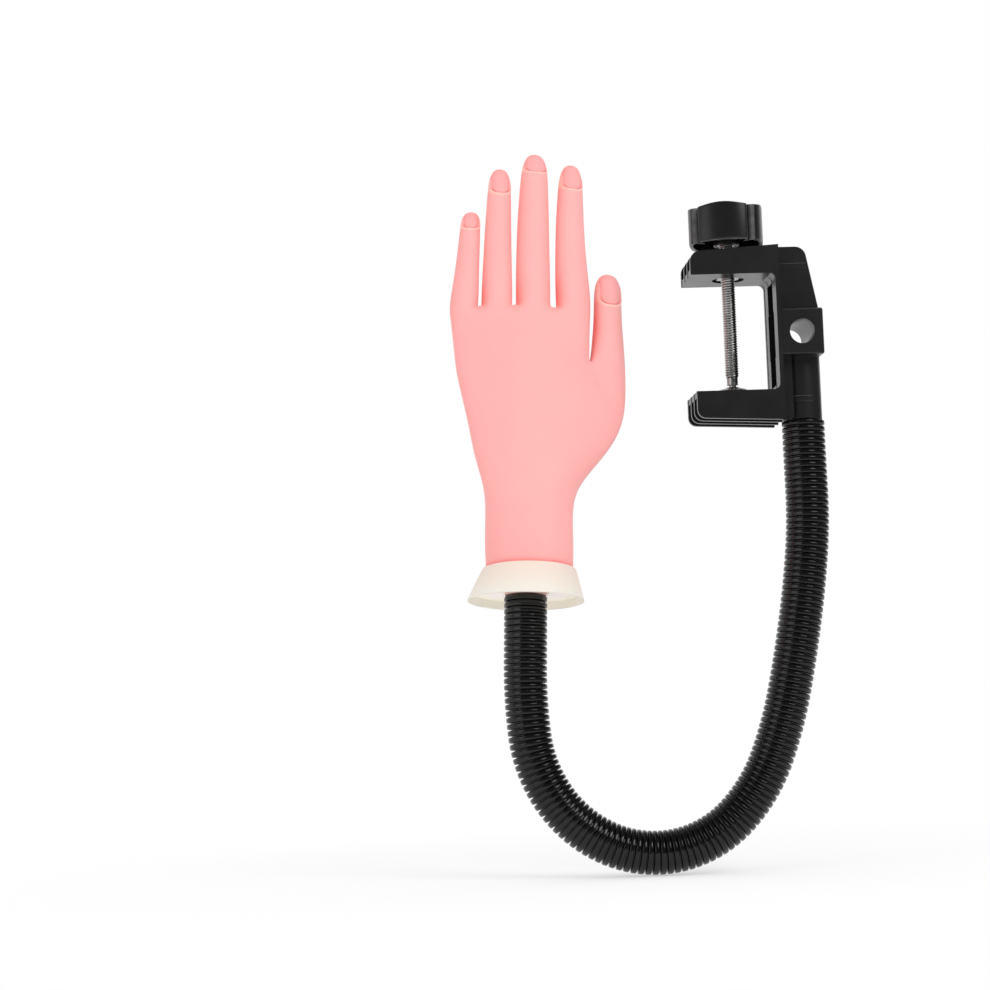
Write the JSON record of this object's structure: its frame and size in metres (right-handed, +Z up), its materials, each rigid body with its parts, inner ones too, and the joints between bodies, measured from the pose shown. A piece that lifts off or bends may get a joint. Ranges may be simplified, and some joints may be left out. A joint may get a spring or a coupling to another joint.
{
  "type": "nail practice hand",
  "caption": "Soft flexible practice hand with recessed nail beds for fitting false nails, on a bendable corrugated arm held by a screw clamp for a table edge.",
  "frame": {"origin": "on the lower jaw's grip face, on the clamping screw's axis, where the table's underside rests", "axes": "+Z up through the clamping screw; the back of the hand and its nails face -Y; +X from the jaw tips to the back of the clamp"},
  "size_m": [0.187, 0.0753, 0.3744],
  "materials": {
    "skin_pink": "soft matt vinyl rubber, flesh pink",
    "cone_cream": "milky cream plastic, slightly see-through",
    "sleeve_rose": "dusty rose rubber",
    "plug_white": "pinkish white plastic",
    "clamp_black": "black moulded plastic with a satin sheen",
    "hose_black": "black corrugated plastic hose, satin",
    "bright_steel": "bright zinc-plated steel",
    "core_steel": "plain wound steel"
  },
  "bodies": {
    "clamp": {"clamp_body": "clamp_black", "jaw_nut": "bright_steel", "socket_ferrule": "bright_steel", "hose_00": "hose_black", "core_00": "core_steel"},
    "pad": {"pressure_pad": "bright_steel"},
    "screw": {"clamp_screw": "bright_steel", "stop_pin": "bright_steel", "clamp_knob": "clamp_black", "knob_insert": "bright_steel"},
    "link_01": {"hose_01": "hose_black", "core_01": "core_steel"},
    "link_02": {"hose_02": "hose_black", "core_02": "core_steel"},
    "link_03": {"hose_03": "hose_black", "core_03": "core_steel"},
    "link_04": {"hose_04": "hose_black", "core_04": "core_steel"},
    "link_05": {"hose_05": "hose_black", "core_05": "core_steel"},
    "link_06": {"hose_06": "hose_black", "core_06": "core_steel"},
    "link_07": {"hose_07": "hose_black", "core_07": "core_steel"},
    "link_08": {"hose_08": "hose_black", "core_08": "core_steel"},
    "link_09": {"hose_09": "hose_black", "core_09": "core_steel"},
    "link_10": {"hose_10": "hose_black", "core_10": "core_steel"},
    "link_11": {"hose_11": "hose_black", "core_11": "core_steel"},
    "arm_top": {"hose_12": "hose_black", "core_12": "core_steel", "wrist_stud": "bright_steel", "wrist_washer": "bright_steel", "wrist_nut": "bright_steel"},
    "hand": {"hand_skin": "skin_pink", "wrist_plug": "plug_white", "base_cone": "cone_cream", "neck_sleeve": "sleeve_rose"}
  },
  "joints": [
    {"name": "pad_slide", "type": "slide", "parent": "clamp", "child": "pad", "axis": [0, 0, 1], "range_m": [0, 0.04699]},
    {"name": "screw_turn", "type": "hinge", "parent": "pad", "child": "screw", "pos_m": [0, 0, 0], "axis": [0, 0, 1], "range_deg": [0, 13320]},
    {"name": "arm_sway_01", "type": "hinge", "parent": "clamp", "child": "link_01", "pos_m": [0.0352, 0, -0.03155], "axis": [-1, 0, 0], "range_deg": [-20, 12], "deforming": ["hose_00", "hose_01"]},
    {"name": "arm_bend_02", "type": "hinge", "parent": "link_01", "child": "link_02", "pos_m": [0.0352, -0.00205, -0.06602], "axis": [0, 0.9982, -0.0593], "range_deg": [-10, 2], "deforming": ["hose_02"]},
    {"name": "arm_bend_03", "type": "hinge", "parent": "link_02", "child": "link_03", "pos_m": [0.03087, -0.00408, -0.10022], "axis": [0, 0.9982, -0.0593], "range_deg": [-10, 2], "deforming": ["hose_03"]},
    {"name": "arm_bend_04", "type": "hinge", "parent": "link_03", "child": "link_04", "pos_m": [0.02447, -0.00609, -0.13407], "axis": [0, 0.9982, -0.0593], "range_deg": [-10, 2], "deforming": ["hose_04"]},
    {"name": "arm_bend_05", "type": "hinge", "parent": "link_04", "child": "link_05", "pos_m": [0.0164, -0.00808, -0.16759], "axis": [0, 0.9982, -0.0593], "range_deg": [-11, 2], "deforming": ["hose_05"]},
    {"name": "arm_bend_06", "type": "hinge", "parent": "link_05", "child": "link_06", "pos_m": [0.00304, -0.00999, -0.19964], "axis": [0, 0.9982, -0.0593], "range_deg": [-23.3, 2], "deforming": ["hose_06"]},
    {"name": "arm_bend_07", "type": "hinge", "parent": "link_06", "child": "link_07", "pos_m": [-0.0223, -0.01144, -0.22415], "axis": [0, 0.9982, -0.0593], "range_deg": [-34.5, 2], "deforming": ["hose_07"]},
    {"name": "arm_bend_08", "type": "hinge", "parent": "link_07", "child": "link_08", "pos_m": [-0.0574, -0.01179, -0.23008], "axis": [0, 0.9982, -0.0593], "range_deg": [-35, 2], "deforming": ["hose_08"]},
    {"name": "arm_bend_09", "type": "hinge", "parent": "link_08", "child": "link_09", "pos_m": [-0.08947, -0.01089, -0.21488], "axis": [0, 0.9982, -0.0593], "range_deg": [-31.4, 2], "deforming": ["hose_09"]},
    {"name": "arm_bend_10", "type": "hinge", "parent": "link_09", "child": "link_10", "pos_m": [-0.1088, -0.00914, -0.18539], "axis": [0, 0.9982, -0.0593], "range_deg": [-28.1, 2], "deforming": ["hose_10"]},
    {"name": "arm_bend_11", "type": "hinge", "parent": "link_10", "child": "link_11", "pos_m": [-0.1119, -0.00708, -0.15071], "axis": [0, 0.9982, -0.0593], "range_deg": [-10, 2], "deforming": ["hose_11"]},
    {"name": "arm_sway_12", "type": "hinge", "parent": "link_11", "child": "arm_top", "pos_m": [-0.11027, -0.00503, -0.11627], "axis": [0.9989, -0.0028, -0.047], "range_deg": [-20, 25], "deforming": ["hose_12"]},
    {"name": "hand_swivel", "type": "hinge", "parent": "arm_top", "child": "hand", "pos_m": [-0.10954, -0.00275, -0.1008], "axis": [0.0469, 0.146, 0.9882], "range_deg": [-180, 180]}
  ],
  "couplings": [
    {"joint": "screw_turn", "follows": "pad_slide", "rad_per_m": 4947.4}
  ]
}
